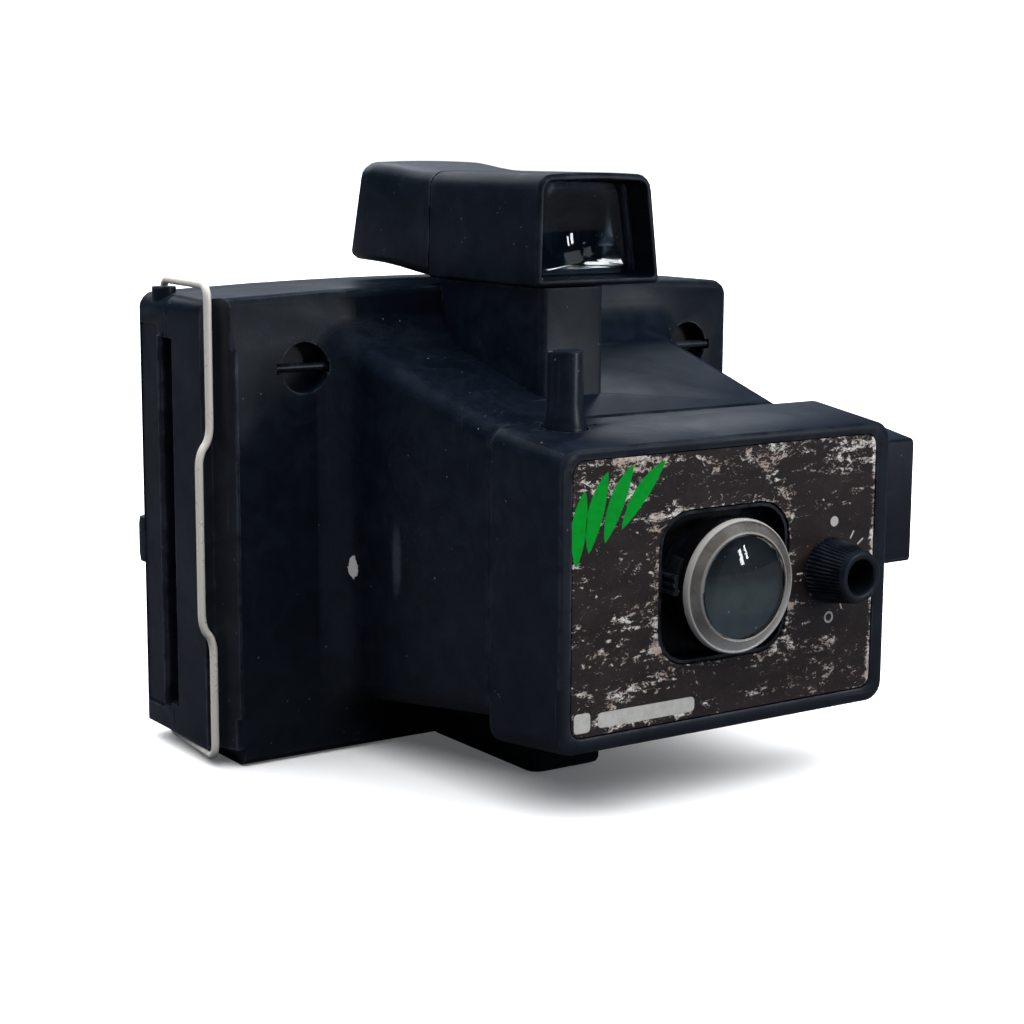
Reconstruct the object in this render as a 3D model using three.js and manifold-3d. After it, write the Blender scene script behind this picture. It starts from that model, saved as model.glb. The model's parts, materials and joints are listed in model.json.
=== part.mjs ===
// Rigid-bodied instant camera for peel-apart pack film: flanged back body, tapered box,
// front housing with a plastic lens, rooftop finder, hinged back door and wire latch.
// Units are millimetres. X runs right as seen from the front, the lens looks along -Y, Z is up.
import * as THREE from "three";
import { mergeVertices } from "three/addons/utils/BufferGeometryUtils.js";
import Module from "manifold-3d";

const wasm = await Module();
wasm.setup();

// ---------------------------------------------------------------- driving dimensions
// Lengths along Y are laid out from the flange's front face, which is Y = 0 until the last line.
const gap = 0.3;
const wall = 2.4;

const flange = { half: 82, height: 119, crown: 2.2, corner: 4, front: 6, parting: 25, back: 45 };
const chamber = { left: -56, right: 76, bottom: 8, top: 112 };
const rollerBay = { left: -79, right: -57, bottom: 8, top: 112, front: 6.5 };
const exitSlot = { bottom: 12, top: 108, height: 5.2 };
const ledge = { depth: 6, width: 3, rib: 1.4 };
const ridge = { left: -78.2, right: -75.4, bottom: 12, top: 107.5 };
const latchBay = { right: -74.5, ceiling: 4.6 };

const box = {
  front: -59.2,
  rearLeft: -45.5, rearRight: 57, rearBottom: 13.8, rearTop: 107,
  frontLeft: -39.6, frontRight: 51.5, frontBottom: 20.8, frontTop: 92,
  corner: 5, fillet: 9,
};
const housing = {
  rear: -59.5, front: -86.5,
  rearLeft: -39.8, rearRight: 65.4, rearBottom: 15, rearTop: 91.8,
  left: -38.4, right: 63.6, bottom: 17.3, top: 88.9,
  corner: 4.6,
};
const plate = { left: -35, right: 59.2, bottom: 21, top: 86.4, recess: 1, thick: 0.6 };

const lensAxis = { x: 10.6, z: 53.4 };
const well = { width: 40.5, height: 37.6, corner: 9, depth: 7.6 };
const lensRim = { radius: 16.1, inner: 12.6, front: -93.9, rear: -85.4, bulge: 2.2, slope: 1.9 };
const knob = { x: 44.2, z: 53, radius: 8.3, tip: 6.5, bore: 4.2, front: -98.2, rear: -86.8, flutes: 24 };
const rod = { x: -22.6, y: -66, radius: 4.6, base: 5.3, top: 109.4, travel: 4.5 };

const finder = {
  front: -46.3, rear: 3, floor: 122.6, top: 149.4,
  left: -17.3, right: 20.9, topLeft: -16.6, topRight: 17.7, corner: 4, recess: 7,
};
const hood = { front: 3.3, rearTop: 34.6, rearBottom: 41, floor: 125, top: 152.2, flare: 2.5 };
const foot = { left: -15, right: 4.2, front: -45.4, top: 122.3 };
const stand = { left: -17, right: 5, front: -46, corner: 3, ceiling: 15 };
const flash = { inner: 64.2, outer: 75, front: -84, rear: -64.5, bottom: 51.6, top: 83.4 };
const strap = { radius: 6.5, depth: 5.2, left: -56, right: 67.5, z: 101.2 };

const hinge = { x: 84.6, y: 25.15, radius: 2.2, pin: 1.1, bore: 1.45 };
const bail = { x: -78.5, y: 33.5, wire: 1, armTop: 122.4, armBottom: 2.7, reach: 3.4 };
const rollers = { x: -69.6, radius: 5.4, journal: 2, front: 19.4, rear: 30.9, bottom: 13, top: 107 };
const cell = { radius: 5.2, length: 44, stations: [-28.4, -16.9] };

// ---------------------------------------------------------------- materials
const finish = (color, roughness, metalness = 0, extra = {}) =>
  new THREE.MeshStandardMaterial({ color, roughness, metalness, ...extra });
const blackShell = finish(0x17191d, 0.48);
const blackSatin = finish(0x1b1d21, 0.42);
const blackMatt = finish(0x101114, 0.75);
const faceFilm = finish(0x2c2826, 0.5);
const clearPlastic = finish(0xc9d2d2, 0.08, 0, { transparent: true, opacity: 0.35 });
const steel = finish(0xc4c3bd, 0.3, 1);
const springSteel = finish(0x9a9c9e, 0.35, 1);
const brass = finish(0xb5933f, 0.35, 1);
const cellJacket = finish(0x3c4a58, 0.4, 0.3);
const boardGreen = finish(0x2c4b38, 0.6);
const coilBrown = finish(0x5b3420, 0.5, 0.2);
const sensorGrey = finish(0x4a4742, 0.35);

// ---------------------------------------------------------------- solids
// Welds vertices, drops slivers and turns the faces outwards.
function clean(geometry) {
  const bare = new THREE.BufferGeometry();
  bare.setAttribute("position", geometry.getAttribute("position").clone());
  if (geometry.index) bare.setIndex(geometry.index.clone());
  const merged = mergeVertices(bare, 1e-4);
  const p = merged.getAttribute("position");
  const old = merged.index.array;
  const kept = [];
  let volume = 0;
  const a = new THREE.Vector3();
  const b = new THREE.Vector3();
  const c = new THREE.Vector3();
  for (let i = 0; i < old.length; i += 3) {
    const [i0, i1, i2] = [old[i], old[i + 1], old[i + 2]];
    if (i0 === i1 || i1 === i2 || i0 === i2) continue;
    kept.push(i0, i1, i2);
    a.fromBufferAttribute(p, i0);
    b.fromBufferAttribute(p, i1);
    c.fromBufferAttribute(p, i2);
    volume += a.dot(b.cross(c));
  }
  if (volume < 0) kept.reverse();
  merged.setIndex(kept);
  return merged;
}

function toSolid(geometry) {
  const g = clean(geometry);
  const vertProperties = new Float32Array(g.getAttribute("position").array);
  const triVerts = new Uint32Array(g.index.array);
  return new wasm.Manifold(new wasm.Mesh({ numProp: 3, vertProperties, triVerts }));
}

function fromSolid(solid) {
  const m = solid.getMesh();
  const g = new THREE.BufferGeometry();
  g.setAttribute("position", new THREE.BufferAttribute(new Float32Array(m.vertProperties), 3));
  g.setIndex(Array.from(m.triVerts));
  return g;
}

const join = (first, ...rest) => fromSolid(rest.reduce((s, g) => s.add(toSolid(g)), toSolid(first)));
const cut = (first, ...rest) => fromSolid(rest.reduce((s, g) => s.subtract(toSolid(g)), toSolid(first)));

// Skins a stack of rings that share one point count and fans each end from its middle.
function loft(rings) {
  const n = rings[0].length;
  const positions = rings.flat().flatMap((p) => [p.x, p.y, p.z]);
  const index = [];
  for (let r = 0; r + 1 < rings.length; r++) {
    for (let i = 0; i < n; i++) {
      const a = r * n + i;
      const b = r * n + ((i + 1) % n);
      index.push(a, b, b + n, a, b + n, a + n);
    }
  }
  for (const [r, flip] of [[0, true], [rings.length - 1, false]]) {
    const middle = new THREE.Vector3();
    rings[r].forEach((p) => middle.addScaledVector(p, 1 / n));
    const hub = positions.length / 3;
    positions.push(middle.x, middle.y, middle.z);
    for (let i = 0; i < n; i++) {
      const a = r * n + i;
      const b = r * n + ((i + 1) % n);
      if (flip) index.push(hub, b, a);
      else index.push(hub, a, b);
    }
  }
  const g = new THREE.BufferGeometry();
  g.setAttribute("position", new THREE.Float32BufferAttribute(positions, 3));
  g.setIndex(index);
  return clean(g);
}

// Corner-rounded polygon; divisions[i] adds points along the side that leaves corner i.
function rounded(corners, radius, steps = 4, divisions = []) {
  const n = corners.length;
  const arcs = corners.map((corner, i) => {
    const p = new THREE.Vector2(...corner);
    const back = new THREE.Vector2(...corners[(i + n - 1) % n]).sub(p).normalize();
    const on = new THREE.Vector2(...corners[(i + 1) % n]).sub(p).normalize();
    const r = Array.isArray(radius) ? radius[i] : radius;
    const half = Math.acos(back.dot(on)) / 2;
    const middle = back.clone().add(on).normalize().multiplyScalar(r / Math.sin(half)).add(p);
    const from = p.clone().addScaledVector(back, r / Math.tan(half)).sub(middle);
    const to = p.clone().addScaledVector(on, r / Math.tan(half)).sub(middle);
    const start = Math.atan2(from.y, from.x);
    let sweep = Math.atan2(to.y, to.x) - start;
    if (sweep > Math.PI) sweep -= 2 * Math.PI;
    if (sweep < -Math.PI) sweep += 2 * Math.PI;
    return Array.from({ length: steps + 1 }, (_, k) => {
      const t = start + (sweep * k) / steps;
      return new THREE.Vector2(middle.x + r * Math.cos(t), middle.y + r * Math.sin(t));
    });
  });
  return arcs.flatMap((arc, i) => {
    const extra = divisions[i] || 0;
    const from = arc[arc.length - 1];
    const to = arcs[(i + 1) % n][0];
    const along = Array.from({ length: extra }, (_, k) => from.clone().lerp(to, (k + 1) / (extra + 1)));
    return [...arc, ...along];
  });
}

const rectangle = (left, right, bottom, top) =>
  [[right, bottom], [right, top], [left, top], [left, bottom]];
const atY = (outline, y) => outline.map((p) => new THREE.Vector3(p.x, y, p.y));
const atZ = (outline, z) => outline.map((p) => new THREE.Vector3(p.x, p.y, z));
const atX = (outline, x) => outline.map((p) => new THREE.Vector3(x, p.x, p.y));
const slab = (at, outline, from, to) => loft([at(outline, from), at(outline, to)]);

function block(x0, x1, y0, y1, z0, z1) {
  const g = new THREE.BoxGeometry(x1 - x0, y1 - y0, z1 - z0);
  g.translate((x0 + x1) / 2, (y0 + y1) / 2, (z0 + z1) / 2);
  return clean(g);
}

// Turned solid about an axis through (a, b); the profile lists [radius, station] pairs.
function turned(axis, a, b, profile, segments = 32) {
  const points = profile.map(([r, h]) => new THREE.Vector2(r, h));
  const g = new THREE.LatheGeometry(points, segments);
  if (axis === "z") {
    g.rotateX(Math.PI / 2);
    g.translate(a, b, 0);
  }
  if (axis === "y") g.translate(a, 0, b);
  if (axis === "x") {
    g.rotateZ(-Math.PI / 2);
    g.translate(0, a, b);
  }
  return clean(g);
}

const disc = (axis, a, b, radius, from, to, segments = 32) =>
  turned(axis, a, b, [[0, from], [radius, from], [radius, to], [0, to]], segments);

const tube = (axis, a, b, outer, inner, from, to, segments = 32) =>
  turned(axis, a, b, [[inner, from], [outer, from], [outer, to], [inner, to], [inner, from]], segments);

// Round wire swept along a list of points, each ring set square to the path.
function wireAlong(points, radius, sides = 10) {
  const last = points.length - 1;
  const normal = new THREE.Vector3();
  const before = new THREE.Vector3();
  const rings = points.map((p, i) => {
    const tangent = points[Math.min(i + 1, last)].clone().sub(points[Math.max(i - 1, 0)]).normalize();
    if (i === 0) normal.set(0.3, 0.9, 0.2).cross(tangent).normalize();
    else normal.applyQuaternion(new THREE.Quaternion().setFromUnitVectors(before, tangent));
    before.copy(tangent);
    const across = tangent.clone().cross(normal);
    return Array.from({ length: sides }, (_, k) => {
      const t = (2 * Math.PI * k) / sides;
      const q = p.clone().addScaledVector(normal, radius * Math.cos(t));
      return q.addScaledVector(across, radius * Math.sin(t));
    });
  });
  return loft(rings);
}

// Polyline with its corners eased by short curved bends.
function bent(points, ease, steps = 4) {
  const path = [points[0]];
  for (let i = 1; i + 1 < points.length; i++) {
    const p = points[i];
    const near = (q) => q.clone().sub(p).setLength(Math.min(ease, q.distanceTo(p) * 0.45)).add(p);
    const curve = new THREE.QuadraticBezierCurve3(near(points[i - 1]), p, near(points[i + 1]));
    path.push(...curve.getPoints(steps));
  }
  path.push(points[points.length - 1]);
  return path;
}

const group = new THREE.Group();
group.name = "instant_camera";
function add(name, geometry, material) {
  const g = clean(geometry).toNonIndexed();
  g.computeVertexNormals();
  const mesh = new THREE.Mesh(g, material);
  mesh.name = name;
  group.add(mesh);
}

// ---------------------------------------------------------------- back body
// Flange outline with its arched top edge, drawn in by `inset` and lowered by `sink`.
function flangeOutline(inset, sink = 0) {
  const { half, height, corner, crown } = flange;
  const top = height - inset - sink;
  const corners = rectangle(-half + inset, half - inset, inset, top);
  return rounded(corners, Math.max(corner - inset, 1), 4, [0, 10, 0, 0]).map((p) => {
    const arch = crown * (1 - (p.x / half) ** 2);
    return new THREE.Vector2(p.x, p.y > height / 2 ? p.y + arch : p.y);
  });
}

// Four-sided section of the tapered box at distance y from the flange, grown by `grow`.
function boxSection(y, grow, corner) {
  const t = y / box.front;
  const mix = (a, b) => a + (b - a) * t;
  const left = mix(box.rearLeft, box.frontLeft) - grow;
  const right = mix(box.rearRight, box.frontRight) + grow;
  const bottom = mix(box.rearBottom, box.frontBottom) - grow;
  const top = mix(box.rearTop, box.frontTop) + grow;
  return atY(rounded(rectangle(left, right, bottom, top), corner, 5), y);
}

// The box flares into the flange on a quarter-round fillet.
function taperedBox() {
  const { fillet, corner, front } = box;
  const rings = [boxSection(1, fillet * 0.8, corner + 5)];
  const turns = 6;
  for (let i = 0; i <= turns; i++) {
    const t = (i / turns) * (Math.PI / 2);
    const y = -fillet * (1 - Math.cos(t)) * 0.999;
    const grow = fillet * 0.8 * (1 - Math.sin(t));
    rings.push(boxSection(y, grow, corner + grow * 0.6));
  }
  rings.push(boxSection(front + 0.6, 0, corner));
  rings.push(boxSection(front, -0.5, corner - 0.5));
  return loft(rings);
}

function finderFoot() {
  const base = rectangle(foot.left, foot.right, foot.front, 3);
  const lower = atZ(rounded(base, [2, 2, 2, 2], 3), 84);
  const upper = atZ(rounded(base, [2, 2, 2, 2], 3), foot.top);
  return loft([lower, upper]);
}

// Foot under the box that keeps the camera level; its pocket opens into the box.
function standFoot() {
  const ring = (inset, z) => {
    const sides = rectangle(stand.left + inset, stand.right - inset, stand.front + inset, 3);
    return atZ(rounded(sides, stand.corner, 3), z);
  };
  return loft([ring(1, 0), ring(0.3, 0.3), ring(0, 1), ring(-0.4, 23)]);
}

function strapPocket(x) {
  const round = disc("y", x, strap.z, strap.radius, -1, strap.depth, 36);
  const reach = strap.radius + 1.4;
  const notch = block(x - reach, x + reach, -1, 2.9, strap.z - 1.4, strap.z + 1.4);
  return join(round, notch);
}

function ledgeCut() {
  const { depth, width } = ledge;
  const side = -flange.half;
  const outline = [[side - 4, depth], [side + width, depth], [side + width + 3.4, -3], [side - 4, -3]];
  return slab(atZ, rounded(outline, 0.4, 2), 3, flange.height + 6);
}

function bodyShell() {
  const shell = loft([
    atY(flangeOutline(2), 0),
    atY(flangeOutline(0.6), 0.7),
    atY(flangeOutline(0), 2.2),
    atY(flangeOutline(0), flange.parting),
  ]);
  const { left, right, bottom, top } = ridge;
  const rib = loft([
    atY(rounded(rectangle(left - 2, right + 1, bottom, top), 1.6, 3), 1.5),
    atY(rounded(rectangle(left - 1, right, bottom + 1, top - 1), 1, 3), -ledge.rib),
  ]);
  let solid = join(shell, taperedBox(), finderFoot(), standFoot(), rib);
  const inner = loft([boxSection(7, -wall - 0.6, 4), boxSection(box.front + wall, -wall, 3)]);
  const aperture = disc("y", lensAxis.x, lensAxis.z, 15, box.front - 1, box.front + 5, 36);
  const film = block(chamber.left, chamber.right, flange.front, 30, chamber.bottom, chamber.top);
  const { left: bayLeft, right: bayRight, front: bayFront } = rollerBay;
  const bay = block(bayLeft, bayRight, bayFront, 30, rollerBay.bottom, rollerBay.top);
  const through = block(-60, -50, 10, 30, chamber.bottom, chamber.top);
  const footHollow = block(foot.left + wall, foot.right - wall, foot.front + 5, -5, 80, 118);
  const standInside = [stand.left + wall, stand.right - wall, stand.front + wall, -3];
  const standHollow = block(...standInside, -1, stand.ceiling);
  const slot = block(-90, -70, flange.parting - exitSlot.height / 2, 30, exitSlot.bottom, exitSlot.top);
  const lower = block(-90, latchBay.right, -4, 30, -2, latchBay.ceiling);
  solid = cut(solid, inner, aperture, film, bay, through, footHollow, standHollow);
  solid = cut(solid, slot, lower, ledgeCut());
  solid = cut(solid, strapPocket(strap.left), strapPocket(strap.right));
  return join(solid, ...hingeKnuckles([[6, 26], [50, 70], [94, 114]], -1));
}

// Knuckles round the pin; side -1 grows them from the body, +1 from the door.
function hingeKnuckles(spans, side) {
  return spans.map(([from, to]) => {
    const near = hinge.y + side * 0.45;
    const far = hinge.y + side * 5;
    const leaf = block(flange.half - 1.2, hinge.x, Math.min(near, far), Math.max(near, far), from, to);
    const barrel = disc("z", hinge.x, hinge.y, hinge.radius, from, to, 20);
    const bore = disc("z", hinge.x, hinge.y, hinge.bore, from - 1, to + 1, 20);
    return cut(join(leaf, barrel), bore);
  });
}

// ---------------------------------------------------------------- front housing
function housingSection(t, inset, corner) {
  const mix = (a, b) => a + (b - a) * t;
  const left = mix(housing.rearLeft, housing.left) + inset;
  const right = mix(housing.rearRight, housing.right) - inset;
  const bottom = mix(housing.rearBottom, housing.bottom) + inset;
  const top = mix(housing.rearTop, housing.top) - inset;
  const y = mix(housing.rear, housing.front);
  return atY(rounded(rectangle(left, right, bottom, top), corner, 5), y);
}

// Outer form of the housing, its walls moved out by `grow`.
function housingForm(grow) {
  const { corner } = housing;
  return loft([
    housingSection(0, 0.5 - grow, corner),
    housingSection(0.03, -grow, corner),
    housingSection(0.965, -grow, corner),
    housingSection(0.99, 0.3 - grow, corner),
    housingSection(1, 1 - grow, corner - 0.6),
  ]);
}

function frontHousing() {
  const { rear, front } = housing;
  const outer = housingForm(0);
  const depth = rear - front;
  const inner = loft([housingSection(2.4 / depth, 2.3, 3), housingSection(1 - 3.2 / depth, 2.3, 3)]);
  const opening = slab(atY, rounded(rectangle(-34, 47, 25, 87), 4, 4), rear - 4, rear + 2);
  const recess = slab(
    atY,
    rounded(rectangle(plate.left, plate.right, plate.bottom, plate.top), 3.2, 4),
    front - 2,
    front + plate.recess,
  );
  const wellHole = slab(atY, wellOutline(0), front - 2, front + 6);
  const shaft = disc("y", knob.x, knob.z, 6.4, front - 2, front + 6);
  const rodHole = disc("z", rod.x, rod.y, rod.base + 0.4, 82, 98, 32);
  const notches = [-1, 1].map((s) => {
    const x = rod.x + s * (rod.base + 2.6);
    return block(x - 1.5, x + 1.5, rod.y - 0.7, rod.y + 0.7, 82, 98);
  });
  const batteryHole = block(-34, -11, -82.5, -64.5, 10, 20);
  let shell = cut(outer, inner, opening, recess, wellHole, shaft, rodHole, batteryHole, ...notches);
  const shelf = cut(
    block(-38.2, rod.x + 5.5, rod.y - 5.6, rod.y + 4, 68, 70),
    disc("z", rod.x, rod.y, 1.7, 60, 80, 16),
  );
  shell = join(shell, shelf);
  const socketSeat = block(60, 70, flash.front + 3, flash.rear - 3, 56, 79);
  return cut(shell, socketSeat);
}

function wellOutline(inset) {
  const w = well.width / 2 - inset;
  const h = well.height / 2 - inset;
  const r = Math.max(well.corner - inset, 2);
  return rounded(rectangle(lensAxis.x - w, lensAxis.x + w, lensAxis.z - h, lensAxis.z + h), r, 5);
}

function facePlate() {
  const g = plate.recess - 0.3;
  const outline = rounded(
    rectangle(plate.left + 0.3, plate.right - 0.3, plate.bottom + 0.3, plate.top - 0.3), 2.9, 4);
  const sheet = slab(atY, outline, housing.front + g, housing.front + g - plate.thick);
  const lensHole = slab(atY, wellOutline(0), housing.front - 2, housing.front + 4);
  const knobHole = disc("y", knob.x, knob.z, 6.4, housing.front - 2, housing.front + 4);
  return cut(sheet, lensHole, knobHole);
}

function lensWell() {
  const rim = housing.front + 0.5;
  const floor = housing.front + well.depth;
  const tub = slab(atY, wellOutline(0.35), rim, floor);
  const hollow = loft([atY(wellOutline(1.1), rim - 2), atY(wellOutline(1.3), floor - 1.6)]);
  const throat = disc("y", lensAxis.x, lensAxis.z, 11.6, rim, floor + 2, 36);
  return cut(tub, hollow, throat);
}

// ---------------------------------------------------------------- lens and shutter
function lens() {
  const { radius, inner, front, rear, bulge, slope } = lensRim;
  const dome = [];
  for (let i = 0; i <= 6; i++) {
    dome.push([inner * (i / 6), front - bulge + bulge * (i / 6) ** 2]);
  }
  return turned("y", lensAxis.x, lensAxis.z, [
    ...dome,
    [inner + 0.5, front + 0.15],
    [radius - 0.4, front + slope],
    [radius, front + slope + 0.4],
    [radius + 0.3, rear],
    [radius - 1.9, rear],
    [radius - 2.3, front + 5.9],
    [0, front + 5.5],
  ], 40);
}

function focusLever() {
  const y0 = lensRim.rear + 0.3;
  const y1 = y0 + 4.2;
  const ring = tube("y", lensAxis.x, lensAxis.z, 15.4, 9.4, y0, y1, 40);
  const sleeve = tube("y", lensAxis.x, lensAxis.z, 11.1, 9.4, y1 - 0.5, y1 + 3.4, 40);
  const reach = (from, to, front, low, high) =>
    block(lensAxis.x - to, lensAxis.x - from, front, y1 - 0.6, lensAxis.z + low, lensAxis.z + high);
  const arm = reach(13, 17.8, y0, -0.8, 4.2);
  const tab = reach(16.8, 17.8, y0 - 4.4, -0.8, 4.2);
  const grips = [0, 1, 2].map((i) => reach(17.6, 18.1, y0 - 4.4, 1.9 * i - 0.6, 1.9 * i + 0.2));
  return join(ring, arm, tab, sleeve, ...grips);
}

function shutterPlate() {
  const y = housing.front + well.depth + 2.6;
  const base = slab(atY, rounded(rectangle(-9.6, 33, 33, 75), 3, 3), y, y + 1.6);
  const stop = disc("y", lensAxis.x, lensAxis.z, 4.2, y - 1, y + 3, 32);
  const pivot = disc("y", 26, 68, 1.2, y + 1, y + 5, 16);
  return join(cut(base, stop), pivot);
}

function shutterBlade() {
  const y = housing.front + well.depth + 5.1;
  const shape = [[20.5, 71.5], [4, 58], [5, 46], [17, 47.5], [30, 64], [29, 71.5]];
  const blade = slab(atY, rounded(shape.reverse(), 2, 3), y, y + 0.7);
  return cut(blade, disc("y", 26, 68, 1.5, y - 1, y + 2, 16));
}

function knobSolid() {
  const stations = [
    [knob.rear, knob.radius],
    [knob.rear - 2, knob.radius - 0.2],
    [knob.front + 1, knob.tip],
    [knob.front, knob.tip - 0.8],
  ];
  const count = knob.flutes * 4;
  const rings = stations.map(([y, r], k) => Array.from({ length: count }, (_, i) => {
    const t = (2 * Math.PI * i) / count;
    const depth = k === stations.length - 1 ? 0 : 0.42;
    const rr = r - depth * (0.5 - 0.5 * Math.cos(knob.flutes * t));
    return new THREE.Vector3(knob.x + rr * Math.cos(t), y, knob.z + rr * Math.sin(t));
  }));
  const sleeve = disc("y", knob.x, knob.z, 6, knob.rear - 1, housing.front + 4.2, 32);
  const bore = disc("y", knob.x, knob.z, knob.bore, knob.front - 2, housing.front + 8, 32);
  return cut(join(loft(rings), sleeve), bore);
}

// D-shaped release rod on a round foot, with a thin stem that carries its spring.
function shutterRod() {
  const z0 = 84.5;
  const full = turned("z", rod.x, rod.y, [
    [0, z0], [rod.base + 1.3, z0], [rod.base + 1.3, z0 + 2], [rod.base, z0 + 2],
    [rod.base, 91.5], [rod.base - 0.35, 93.6], [rod.radius - 0.15, 97],
    [rod.radius - 0.35, rod.top - 0.4], [rod.radius - 0.8, rod.top], [0, rod.top],
  ], 36);
  const flat = block(rod.x - 9, rod.x + 9, rod.y + 2.3, rod.y + 9, 93, rod.top + 3);
  const stem = disc("z", rod.x, rod.y, 1.3, 65, z0 + 1, 16);
  return join(cut(full, flat), stem);
}

function releaseSpring() {
  const turns = 5;
  const from = 70.8;
  const to = 83.8;
  const count = turns * 12;
  const points = Array.from({ length: count + 1 }, (_, i) => {
    const a = (2 * Math.PI * turns * i) / count;
    const z = from + ((to - from) * i) / count;
    return new THREE.Vector3(rod.x + 3 * Math.cos(a), rod.y + 3 * Math.sin(a), z);
  });
  return wireAlong(points, 0.4, 5);
}

// ---------------------------------------------------------------- finder
function finderOutline(inset, extra = 0) {
  const corners = [
    [finder.right - inset, finder.floor + inset],
    [finder.topRight - inset, finder.top - inset],
    [finder.topLeft + inset, finder.top - inset],
    [finder.left + inset, finder.floor + inset],
  ];
  const r = Math.max(finder.corner - inset, 0.8);
  return rounded(corners, [0.9, r, r, 0.9], 4, [0, 6, 0, 0]).map((p) => {
    const arch = 0.9 * (1 - (p.x / 20) ** 2);
    return new THREE.Vector2(p.x, p.y > finder.top - 6 ? p.y + arch + extra : p.y);
  });
}

function finderBody() {
  const outer = loft([
    atY(finderOutline(0.7), finder.front),
    atY(finderOutline(0), finder.front + 0.8),
    atY(finderOutline(0), finder.rear),
  ]);
  const step = finder.front + finder.recess;
  const mouth = loft([atY(finderOutline(1.6), finder.front - 1), atY(finderOutline(2.1), step)]);
  const seat = slab(atY, finderOutline(2.1), step - 0.01, step + 3);
  const tunnel = slab(atY, finderOutline(4.2), step, finder.rear + 1);
  return cut(outer, mouth, seat, tunnel);
}

function finderFrontLens() {
  const y = finder.front + finder.recess + 0.2;
  const pane = slab(atY, finderOutline(2.4), y, y + 2.4);
  const bowl = [[0, y + 1.2], [4, y + 0.9], [7, y + 0.2], [8.6, y - 0.5], [0, y - 0.5]];
  const dish = turned("y", 1.6, 136.4, bowl, 36);
  return cut(pane, dish);
}

function finderEyeLens() {
  return slab(atY, finderOutline(4.5), 21.6, 23.4);
}

function hoodRing(t, inset) {
  const ease = t * t * (3 - 2 * t);
  const grow = hood.flare * ease - inset;
  const bottom = finder.floor + 1.6 * Math.min(1, t * 2) + inset + 1.6 * ease;
  const top = finder.top + (hood.top - finder.top - 0.6) * ease - inset;
  const corners = [
    [finder.right + grow, bottom],
    [finder.topRight + grow, top],
    [finder.topLeft - grow, top],
    [finder.left - grow, bottom],
  ];
  const r = Math.max(4 - inset, 1);
  const low = Math.max(2.6 - inset, 0.8);
  return rounded(corners, [low, r, r, low], 4, [0, 6, 0, 0])
    .map((p) => new THREE.Vector2(p.x, p.y > finder.top - 6 ? p.y + 0.9 * (1 - (p.x / 24) ** 2) : p.y));
}

// Rings lean with height so that the eye end slopes forward at its top.
function hoodStation(t, inset, push = 0) {
  const span = hood.rearBottom - hood.front;
  const lean = hood.rearBottom - hood.rearTop;
  return hoodRing(t, inset).map((p) => {
    const high = (p.y - hood.floor) / (hood.top - hood.floor);
    const y = hood.front + span * t + push - lean * high * t * t;
    return new THREE.Vector3(p.x, y, p.y);
  });
}

function eyepieceHood() {
  const outer = loft([
    hoodStation(0, 0), hoodStation(0.2, 0), hoodStation(0.4, 0), hoodStation(0.6, 0),
    hoodStation(0.8, 0), hoodStation(0.93, 0), hoodStation(0.98, 0.5), hoodStation(1, 1.6),
  ]);
  const tunnel = slab(atY, finderOutline(4.2), hood.front - 1, 24);
  const cup = loft([hoodStation(0.55, 2.6), hoodStation(1, 3.4), hoodStation(1, 3.4, 8)]);
  return cut(outer, tunnel, cup);
}

// ---------------------------------------------------------------- fittings
function flashSocket() {
  const ring = (x, inset) => {
    const side = [
      [flash.front + inset, flash.bottom + inset],
      [flash.rear - inset, flash.bottom + inset],
      [flash.rear - inset, flash.top + 3.4 - inset],
      [flash.front + inset, flash.top - inset],
    ];
    return atX(rounded(side, 1.2, 3), x);
  };
  const form = loft([ring(flash.inner - 3, 0), ring(flash.outer - 0.7, 0), ring(flash.outer, 0.7)]);
  const outer = cut(form, housingForm(gap));
  const y = (flash.front + flash.rear) / 2;
  const slot = block(flash.outer - 7.5, flash.outer + 2, y - 3, y + 3, 57, 79);
  const key = block(flash.outer - 2.5, flash.outer + 2, y - 4.6, y + 4.6, 66.5, 69.5);
  const seat = block(61.4, flash.inner + 2, flash.front + 3.4, flash.rear - 3.4, 56.4, 78.6);
  return join(cut(outer, slot, key), seat);
}

function flashContact(from, to) {
  const y = (flash.front + flash.rear) / 2;
  return join(
    block(flash.outer - 7.2, flash.outer - 6.6, y - 1.3, y + 2.7, from, to),
    block(flash.outer - 7.2, flash.outer - 2.4, y + 2.1, y + 2.7, from, to),
  );
}

function strapPin(x) {
  return disc("x", 1.45, strap.z, 1.05, x - strap.radius - 1.1, x + strap.radius + 1.1, 16);
}

function filmGate() {
  const y = flange.front + 0.3;
  const frame = slab(atY, rounded(rectangle(-50, 66, 12, 108.5), 3, 3), y, y + 1.4);
  const picture = slab(atY, rounded(rectangle(-35, 49.5, 20.5, 98), 2, 3), y - 1, y + 3);
  const holes = gateScrews().map(([x, z]) => disc("y", x, z, 1.5, y - 1, y + 3, 16));
  return cut(frame, picture, ...holes);
}

const gateScrews = () => [[-46, 16], [62, 16], [-46, 104.5], [62, 104.5]];

function screw(x, z) {
  const y = flange.front + 1.9;
  const head = turned("y", x, z, [[0, y + 1.3], [1.6, y + 1.2], [2.4, y + 0.6], [2.5, y], [0, y]], 14);
  const slot = block(x - 3, x + 3, y + 0.8, y + 2, z - 0.3, z + 0.3);
  const shank = disc("y", x, z, 1.1, y - 1.6, y + 0.2, 10);
  return join(cut(head, slot), shank);
}

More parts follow.
